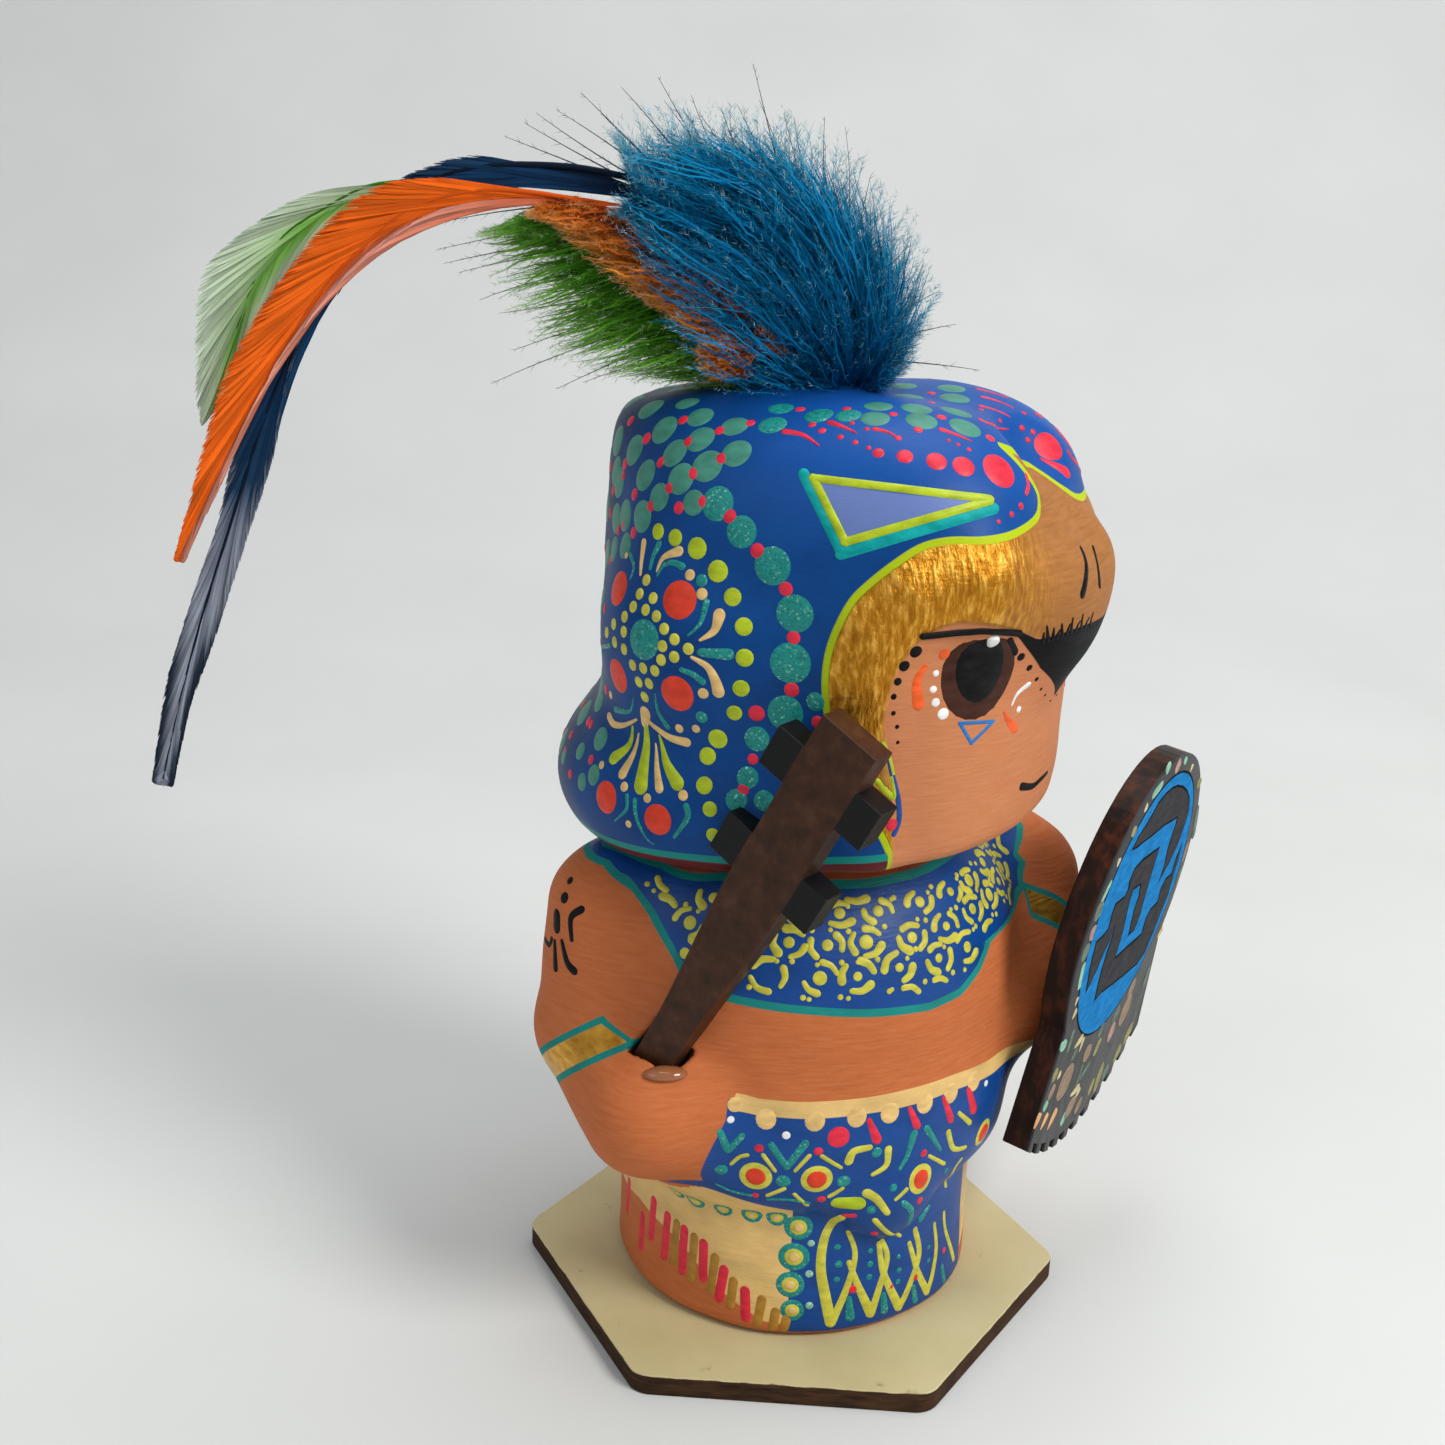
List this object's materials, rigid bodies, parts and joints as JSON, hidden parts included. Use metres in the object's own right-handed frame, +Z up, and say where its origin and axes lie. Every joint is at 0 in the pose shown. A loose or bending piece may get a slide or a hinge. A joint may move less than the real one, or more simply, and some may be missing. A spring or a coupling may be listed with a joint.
{
  "type": "clay figurine",
  "caption": "Painted clay figurine of a squat child warrior in a bird helmet, with club, shield and feather plume, standing on a hexagonal board.",
  "frame": {"origin": "centre of the base board's underside", "axes": "+Z up, the body faces -Y, the figure's left hand with the shield is towards +X"},
  "size_m": [0.143, 0.081, 0.158],
  "materials": {
    "base_board": "laser-cut fibreboard, cream paint on top, charred brown edge",
    "painted_clay": "matte terracotta clay with painted blue, gold, turquoise, lime and cream",
    "club_board": "laser-cut board stained dark brown, black painted teeth",
    "shield_board": "laser-cut board painted dark grey with a blue disc, charred edge",
    "feather_blue": "dyed hackle feather with fluffy down",
    "feather_orange": "dyed hackle feather with fluffy down",
    "feather_green": "dyed hackle feather with fluffy down"
  },
  "bodies": {
    "root": {"base_plate": "base_board", "clay_figure": "painted_clay", "club": "club_board", "shield": "shield_board", "feather_blue": "feather_blue", "feather_orange": "feather_orange", "feather_green": "feather_green"}
  },
  "joints": []
}
